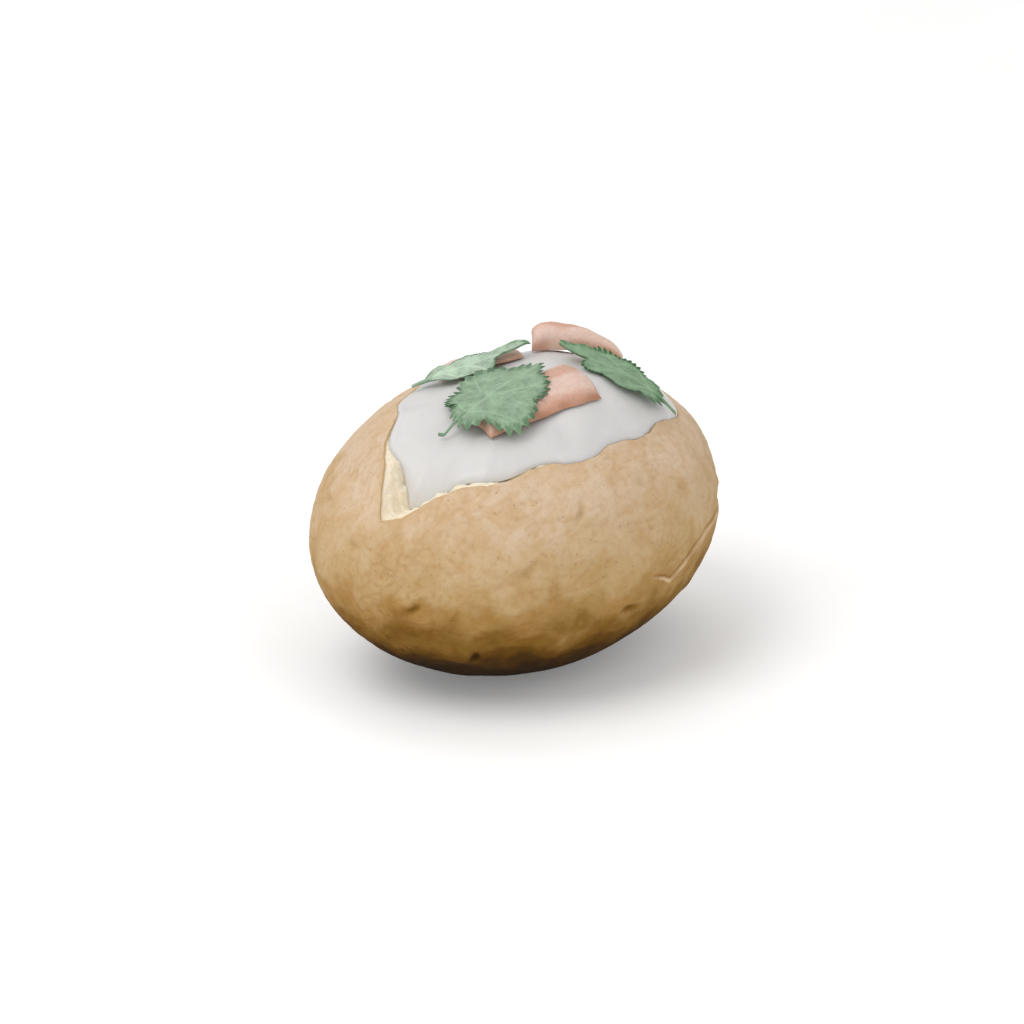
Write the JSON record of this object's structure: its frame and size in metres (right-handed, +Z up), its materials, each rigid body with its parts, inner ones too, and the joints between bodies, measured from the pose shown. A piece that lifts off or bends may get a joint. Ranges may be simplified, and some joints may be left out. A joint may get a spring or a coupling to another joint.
{
  "type": "baked potato",
  "caption": "Whole baked potato split open along the top, filled with a smooth dome of sour cream and topped with bacon strips and herb leaves.",
  "frame": {"origin": "under the middle of the potato, on the surface that it rests on", "axes": "+Z up, +X along the potato's length"},
  "size_m": [0.121, 0.0934, 0.0804],
  "materials": {
    "potato": "matte leathery skin, golden brown below; pale crumbly flesh at the cut",
    "sour_cream": "smooth, softly glossy cream",
    "bacon": "lightly fried, slightly greasy, browned at the edges",
    "leaf": "fresh matte leaf with veins"
  },
  "bodies": {
    "root": {"potato": "potato", "sour_cream": "sour_cream", "bacon_front": "bacon", "bacon_back": "bacon", "bacon_left": "bacon", "leaf_front": "leaf", "leaf_left": "leaf", "leaf_right": "leaf"}
  },
  "joints": []
}
